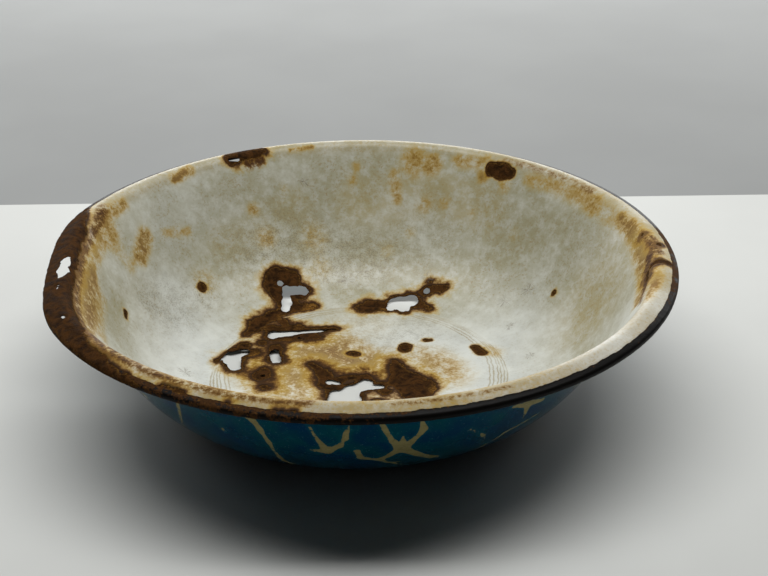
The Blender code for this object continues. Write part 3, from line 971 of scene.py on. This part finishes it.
class BasinColours(PropertyGroup):
    """Colours of the coats, the stains and the rust."""
    white: colour("White", "Clean enamel", (0.68, 0.70, 0.655))
    white_grey: colour("White, greyed", "Dulled enamel", (0.56, 0.58, 0.545))
    film: colour("Film", "Dull beige film", (0.345, 0.322, 0.205))
    freckle: colour("Freckle", "Fine brown freckles", (0.31, 0.235, 0.10))
    cream: colour("Cream", "Yellowed lip", (0.36, 0.275, 0.115))
    ochre_pale: colour("Pale ochre", "Faint stain", (0.50, 0.385, 0.125))
    ochre: colour("Ochre", "Stain", (0.42, 0.265, 0.045))
    ochre_brown: colour("Brown ochre", "Heavy stain", (0.20, 0.100, 0.016))
    pepper: colour("Pepper", "Small dark marks", (0.16, 0.13, 0.085))
    rust_black: colour("Black rust", "Oldest crust", (0.012, 0.0052, 0.002))
    rust_dark: colour("Dark rust", "Crust", (0.033, 0.0150, 0.0048))
    rust_brown: colour("Brown rust", "Flakes", (0.068, 0.029, 0.0085))
    rust_orange: colour("Orange rust", "Fresh bloom", (0.20, 0.095, 0.018))
    rust_ochre: colour("Ochre rust", "Powdery bloom", (0.33, 0.19, 0.05))
    blue: colour("Blue", "Outside coat", (0.0006, 0.040, 0.105))
    teal: colour("Teal", "Clouds in the outside coat", (0.001, 0.072, 0.100))
    teal_pale: colour("Pale teal", "Haze in the outside coat", (0.008, 0.12, 0.145))
    vein: colour("Vein", "Cream veins", (0.36, 0.31, 0.13))
    vein_dull: colour("Vein, dull", "Shaded parts of the veins", (0.22, 0.195, 0.08))
    dark: colour("Dark", "Coat of the rolled edge", (0.0032, 0.0026, 0.0022))


class BasinStage(PropertyGroup):
    """Floor, light and camera."""
    floor: colour("Floor", "Pale paper under the basin", (0.61, 0.62, 0.595))
    # painted shade: this grey stands in for the shade on the upright backdrop, laid flat as a darker sheet
    backdrop_shade: colour("Backing", "Greyer paper behind it", (0.27, 0.277, 0.272))
    floor_edge: FloatProperty(name="Floor edge", description="Where the pale paper ends behind the basin",
                              default=0.259, unit="LENGTH")
    paper: length("Paper", "Half width of the paper", 2.4)
    lamp_height: length("Lamp height", "Softbox above the floor", 1.5)
    lamp_width: length("Lamp width", "Softbox from left to right", 2.2)
    lamp_depth: length("Lamp depth", "Softbox from front to back", 0.5)
    lamp_back: FloatProperty(name="Lamp back", description="Softbox behind the basin's middle",
                             default=0.12, unit="LENGTH")
    lamp_power: FloatProperty(name="Lamp power", description="Softbox", default=27.0, unit="POWER")
    rear_back: length("Rear lamp back", "Low softbox behind the basin", 1.0)
    rear_height: length("Rear lamp height", "Middle of the low softbox", 0.30)
    rear_width: length("Rear lamp width", "Low softbox from left to right", 2.4)
    rear_depth: length("Rear lamp depth", "Low softbox from bottom to top", 0.5)
    rear_tilt: angle("Rear lamp tilt", "Low softbox from facing down to facing the basin", -80)
    rear_power: FloatProperty(name="Rear lamp power", description="Low softbox", default=14.0, unit="POWER")
    room: FloatProperty(name="Room light", description="Light from all round", default=0.022)
    camera_back: length("Camera back", "Camera in front of the basin's middle", 0.83193)
    camera_height: length("Camera height", "Camera above the floor", 0.47027)
    camera_pitch: angle("Camera pitch", "Camera's tilt up from straight down", 63.60)
    camera_roll: angle("Camera roll", "Camera's lean", 0.34)
    camera_turn: angle("Camera turn", "Camera's heading to the left", -1.184)
    focal: FloatProperty(name="Focal length", description="Lens, millimetres", default=76.9)


# ------------------------------------------------------------------ operators

def read_settings(context):
    """The settings that most operators need, and the section of the sheet they give."""
    scene = context.scene
    section = Section(scene.basin_sheet, scene.basin_wear.sink)
    return scene.basin_sheet, scene.basin_wear, scene.basin_colours, section


def steel_depths(section, wear):
    """Depths of the steel's two faces below the lining's surface, with rust swelling and pits."""
    top, bottom = section.coat, section.coat + section.steel
    seam = 0.03
    swell, pit, thinning = wear.swell * PER_MM, wear.pit * PER_MM, wear.thinning * PER_MM

    def eaten(x, y):
        return thinning * fade(hole_field(x, y), 0.0, 2.5)

    def upper(x, y):
        bare = fade(bare_field(x, y), -0.9, 0.0)
        crust = 0.6 * lumps(x, y, 4.2, 61) + 0.45 * lumps(x, y, 1.9, 62) + 0.3 * lumps(x, y, 1.0, 63)
        raised = np.where(crust > 0, crust * swell, crust * pit) + 0.35 * swell
        return top + seam + eaten(x, y) - bare * raised

    def lower(x, y):
        flaked = fade(hole_field(x, y), 0.6, 2.4)
        crust = 0.6 * lumps(x, y, 3.4, 71) + 0.4 * lumps(x, y, 1.4, 72)
        return bottom - seam - eaten(x, y) + flaked * crust * swell * 0.5

    return upper, lower


class BASIN_OT_steel_sheet(Operator):
    """Build the pressed steel sheet with its rust holes and crust"""
    bl_idname = "basin.steel_sheet"
    bl_label = "Steel sheet"

    def execute(self, context):
        sheet, wear, colours, section = read_settings(context)
        points = spread_points(0.0, section.end, bare_field, WALL_SPACING, 1.0)
        fine = honeycomb(HOLE_SPACING, section.end - 1)
        fine = fine[np.abs(hole_field(*fine.T)) < HOLE_BAND]
        clear = np.abs(hole_field(*points.T)) >= HOLE_BAND
        points = np.concatenate([points[clear | (np.hypot(*points.T) > section.end - 0.01)], fine])
        points = snap_to_edge(points, hole_field, 0.0, section.end, SNAP_REACH)
        upper, lower = steel_depths(section, wear)
        piece = rolled_layer("steel_sheet", section, points, hole_field, upper, lower, {
            "to_coat": lambda x, y: -bare_field(x, y),
            "orange": lambda x, y: soak(x, y, ORANGE, 0.6)})
        put_on(piece, rust_surface(colours), "steel_pan")
        return {"FINISHED"}


class BASIN_OT_white_lining(Operator):
    """Build the white coat inside, broken away round the rust"""
    bl_idname = "basin.white_lining"
    bl_label = "White lining"

    def execute(self, context):
        sheet, wear, colours, section = read_settings(context)
        edge = section.run_at((sheet.rim_radius - sheet.white_inset) * PER_MM)

        def coat(x, y):
            return np.minimum(bare_field(x, y), hem_field(x, y, edge))

        end = edge + HEM_MARGIN
        points = spread_points(0.0, end, coat, WALL_SPACING, None)
        points = snap_to_edge(points, coat, 0.0, end, SNAP_REACH)
        chip = wear.chip * PER_MM

        def upper(x, y):
            return chip * fade(coat(x, y), 0.0, 0.8)

        def lower(x, y):
            return np.full(len(x), section.coat)

        def cream(x, y):
            run = np.hypot(x, y)
            turn = azimuth(x, y)
            amount = np.interp(turn, CREAM_TURNS, CREAM_SHARES)
            return ease(run, 195, 201) * amount * (0.85 + 0.25 * lumps(x, y, 26.0, 45))

        def film(x, y):
            back = ease(y, 20, 115) * (1 - 0.30 * ease(-x, 60, 140))
            right = 0.95 * ease(x, 75, 150)
            left = 0.85 * ease(-x, 90, 160)
            spread = np.maximum(np.maximum(back, right), left) * fade(-y, 10, 90)
            return np.clip(spread * (1 + 0.2 * lumps(x, y, 22.0, 46)), 0, 1)

        piece = rolled_layer("white_lining", section, points, coat, upper, lower, {
            "to_bare": lambda x, y: np.clip(stained_field(x, y), -2, 30),
            "soak": lambda x, y: soak(x, y, STAINS, 1.0),
            "pepper": lambda x, y: soak(x, y, PEPPER, 1.0),
            "grime": lambda x, y: soak(x, y, GRIME, 1.0),
            "cream": cream,
            "film": film})
        put_on(piece, white_surface(colours, section), "inner_enamel")
        return {"FINISHED"}


VEIN_CELL = 33.0


def vein_field(x, y):
    """Distance to the cream veins, negative inside them: drawn in front, a broken net elsewhere."""
    bent_x = x + 6.0 * lumps(x, y, 18.0, 81)
    bent_y = y + 6.0 * lumps(x, y, 18.0, 82)
    i = np.floor(bent_x / VEIN_CELL)
    j = np.floor(bent_y / VEIN_CELL)
    reaches = []
    for di in (-1, 0, 1):
        for dj in (-1, 0, 1):
            cx = (i + di + 0.5) * VEIN_CELL
            cy = (j + dj + 0.5) * VEIN_CELL
            px = cx + 0.42 * VEIN_CELL * lumps(cx * 7.3, cy * 7.3, 1.0, 83)
            py = cy + 0.42 * VEIN_CELL * lumps(cx * 7.3, cy * 7.3, 1.0, 84)
            reaches.append(np.hypot(bent_x - px, bent_y - py))
    reaches = np.sort(np.stack(reaches), axis=0)
    between = reaches[1] - reaches[0]
    corner = reaches[2] - reaches[0]
    width = 0.3 + 2.6 * lumps(x, y, 24.0, 85)
    web = 4.6 * fade(corner, 0.0, 12.0)
    net = (between - width - web) * 0.6
    turn = azimuth(x, y)
    front = ease(turn, 218, 226) * fade(turn, 314, 322)
    drawn = distance(x, y, VEINS, 0.8) - 0.25 + 0.35 * lumps(x, y, 5.0, 86) + 0.25 * lumps(x, y, 1.8, 87)
    return np.minimum(net + 40 * front, drawn)


class BASIN_OT_blue_shell(Operator):
    """Build the veined blue coat outside"""
    bl_idname = "basin.blue_shell"
    bl_label = "Blue shell"

    def execute(self, context):
        sheet, wear, colours, section = read_settings(context)
        end = section.run_at((section.bead[0] - sheet.bead_radius * PER_MM))
        flake = wear.blue_flake * PER_MM

        def coat(x, y):
            return hole_field(x, y) - flake + ragged(x, y, 0.3, 51)

        points = spread_points(0.0, end, coat, 2.2, None)
        points = snap_to_edge(points, coat, 0.0, end, SNAP_REACH)
        top, bottom = section.coat + section.steel, 2 * section.half
        piece = rolled_layer("blue_shell", section, points, coat,
                             lambda x, y: np.full(len(x), top), lambda x, y: np.full(len(x), bottom), {
                                 "to_bare": lambda x, y: np.clip(coat(x, y), -2, 30),
                                 "to_vein": vein_field})
        put_on(piece, blue_surface(colours), "outer_enamel")
        return {"FINISHED"}


class BASIN_OT_dark_bead(Operator):
    """Build the dark coat of the rolled edge"""
    bl_idname = "basin.dark_bead"
    bl_label = "Dark bead"

    def execute(self, context):
        sheet, wear, colours, section = read_settings(context)
        edge = section.run_at((sheet.rim_radius - sheet.white_inset) * PER_MM)
        end = section.end - (sheet.dark_end - sheet.curl_end) * sheet.bead_radius * PER_MM

        def coat(x, y):
            return np.minimum(bare_field(x, y), -hem_field(x, y, edge) - 0.25)

        start = edge - HEM_BACK - HEM_MARGIN
        near = rings(start, end, 0.6, 1.1)
        points = snap_to_edge(near, coat, start, end, BEAD_SNAP_REACH)
        chip = wear.chip * PER_MM

        def upper(x, y):
            return chip * fade(coat(x, y), 0.0, 0.7) + 0.05 * lumps(x, y, 3.0, 47)

        def wear_and_shade_lines(x, y):
            turn = azimuth(x, y)
            left = ease(turn, 140, 165) * fade(turn, 258, 292)
            right = fade(np.abs((turn - 356 + 180) % 360 - 180), 8, 22)
            return np.maximum(0.58 * left, 0.7 * right) + 0.25 * fade(coat(x, y), 0, 2.5)

        piece = rolled_layer("dark_bead", section, points, coat, upper,
                             lambda x, y: np.full(len(x), section.coat), {"wear_and_shade_lines": wear_and_shade_lines})
        put_on(piece, dark_surface(colours), "rim_enamel")
        return {"FINISHED"}


class BASIN_OT_rim_wire(Operator):
    """Build the wire inside the rolled edge"""
    bl_idname = "basin.rim_wire"
    bl_label = "Rim wire"

    def execute(self, context):
        sheet, wear, colours, section = read_settings(context)
        spots = []
        for k in range(WIRE_AROUND):
            turn = 2 * math.pi * k / WIRE_AROUND
            for m in range(WIRE_SIDES):
                lean = 2 * math.pi * m / WIRE_SIDES
                reach = sheet.wire_radius * PER_MM * (1 + 0.04 * math.sin(5 * turn * 7 + 2 * lean))
                spots.append((turn, section.bead[0] + reach * math.cos(lean),
                              section.bead[1] + reach * math.sin(lean)))
        turn, radius, height = np.array(spots).T
        places = on_axis(radius - section.knock(turn), turn, height)
        faces = []
        for k in range(WIRE_AROUND):
            a, b = k * WIRE_SIDES, (k + 1) % WIRE_AROUND * WIRE_SIDES
            for m in range(WIRE_SIDES):
                n = (m + 1) % WIRE_SIDES
                faces.append((a + m, b + m, b + n, a + n))
        piece = new_piece("rim_wire_round", places.tolist(), faces)
        piece.data.shade_smooth()
        for label in ("to_coat", "orange"):
            layer = piece.data.attributes.new(label, "FLOAT", "POINT")
            layer.data.foreach_set("value", [0.5] * len(places))
        put_on(piece, bpy.data.materials["rusted_steel"], "rim_wire")
        return {"FINISHED"}


def paper_surface(name, tone):
    """Matt paper with a faint mottle."""
    made, tree, shader = new_surface(name, Roughness=0.85, Specular_IOR_Level=0.2)
    cloud = grain(tree, 160.0, 3.0, 0.5)
    darker = tuple(c * 0.95 for c in tone)
    connect(tree, shader, Base_Color=tint(tree, step(tree, cloud, 0.35, 0.65), tone, darker))
    return made


def paper_sheet(name, low, high, height, thickness, surface):
    """A flat sheet of paper with its top at this height."""
    corners = [(low[0], low[1]), (high[0], low[1]), (high[0], high[1]), (low[0], high[1])]
    places = [(x, y, height) for x, y in corners] + [(x, y, height - thickness) for x, y in corners]
    faces = [(0, 1, 2, 3), (7, 6, 5, 4)] + [(k + 4, (k + 1) % 4 + 4, (k + 1) % 4, k) for k in range(4)]
    sheet = new_piece(name, places, faces)
    sheet.data.materials.append(surface)


def softbox(name, place, tilt, size, power):
    """A rectangular area light that is tipped about X."""
    lamp = bpy.data.lights.new(name, "AREA")
    lamp.shape = "RECTANGLE"
    lamp.size, lamp.size_y = size
    lamp.energy = power
    holder = bpy.data.objects.new(name, lamp)
    holder.location = place
    holder.rotation_euler = (tilt, 0.0, 0.0)
    bpy.context.scene.collection.objects.link(holder)


class BASIN_OT_stage(Operator):
    """Lay the paper, hang the softbox and set the camera"""
    bl_idname = "basin.stage"
    bl_label = "Stage"

    def execute(self, context):
        scene = context.scene
        stage = scene.basin_stage
        gap = 0.0001
        paper_sheet("floor_paper", (-stage.paper, -stage.paper), (stage.paper, stage.floor_edge),
                    -gap, 0.0004, paper_surface("floor_paper", stage.floor))
        # painted shade: a flat darker sheet beyond the floor's edge stands in for the shaded upright
        # backdrop
        paper_sheet("backdrop_shade_paper", (-stage.paper, -stage.paper), (stage.paper, stage.paper * 1.5),
                    -0.002, 0.001, paper_surface("backdrop_shade_paper", stage.backdrop_shade))

        softbox("softbox", (0.0, stage.lamp_back, stage.lamp_height), 0.0,
                (stage.lamp_width, stage.lamp_depth), stage.lamp_power)
        softbox("low_softbox", (0.0, stage.rear_back, stage.rear_height), stage.rear_tilt,
                (stage.rear_width, stage.rear_depth), stage.rear_power)

        world = bpy.data.worlds.new("room")
        world.use_nodes = True
        background = world.node_tree.nodes["Background"]
        background.inputs["Color"].default_value = (1.0, 1.0, 1.0, 1.0)
        background.inputs["Strength"].default_value = stage.room
        scene.world = world

        camera = bpy.data.objects.new("camera", bpy.data.cameras.new("camera"))
        camera.data.lens = stage.focal
        camera.location = (AXIS_X, -stage.camera_back, stage.camera_height)
        camera.rotation_euler = (stage.camera_pitch, stage.camera_roll, stage.camera_turn)
        scene.collection.objects.link(camera)
        scene.camera = camera
        scene.view_settings.view_transform = "Standard"
        return {"FINISHED"}


class BASIN_PT_panel(Panel):
    """Sidebar panel of the basin"""
    bl_label = "Enamelled basin"
    bl_idname = "BASIN_PT_panel"
    bl_space_type = "VIEW_3D"
    bl_region_type = "UI"
    bl_category = "Basin"

    def draw(self, context):
        layout = self.layout
        scene = context.scene
        for builder in BUILDERS:
            layout.operator(builder.bl_idname)
        for group in (scene.basin_sheet, scene.basin_wear, scene.basin_colours, scene.basin_stage):
            column = layout.column(align=True)
            column.label(text=type(group).__name__)
            for key in group.__annotations__:
                column.prop(group, key)


BUILDERS = (BASIN_OT_steel_sheet, BASIN_OT_white_lining, BASIN_OT_blue_shell, BASIN_OT_dark_bead,
            BASIN_OT_rim_wire, BASIN_OT_stage)
SETTINGS = {"basin_sheet": BasinSheet, "basin_wear": BasinWear, "basin_colours": BasinColours,
            "basin_stage": BasinStage}
CLASSES = (*SETTINGS.values(), *BUILDERS, BASIN_PT_panel)


def register():
    for made in CLASSES:
        bpy.utils.register_class(made)
    for key, group in SETTINGS.items():
        setattr(bpy.types.Scene, key, PointerProperty(type=group))


def unregister():
    for key in SETTINGS:
        delattr(bpy.types.Scene, key)
    for made in reversed(CLASSES):
        bpy.utils.unregister_class(made)


def main():
    register()
    bpy.ops.basin.steel_sheet()
    bpy.ops.basin.white_lining()
    bpy.ops.basin.blue_shell()
    bpy.ops.basin.dark_bead()
    bpy.ops.basin.rim_wire()
    bpy.ops.basin.stage()


if __name__ == "__main__":
    main()
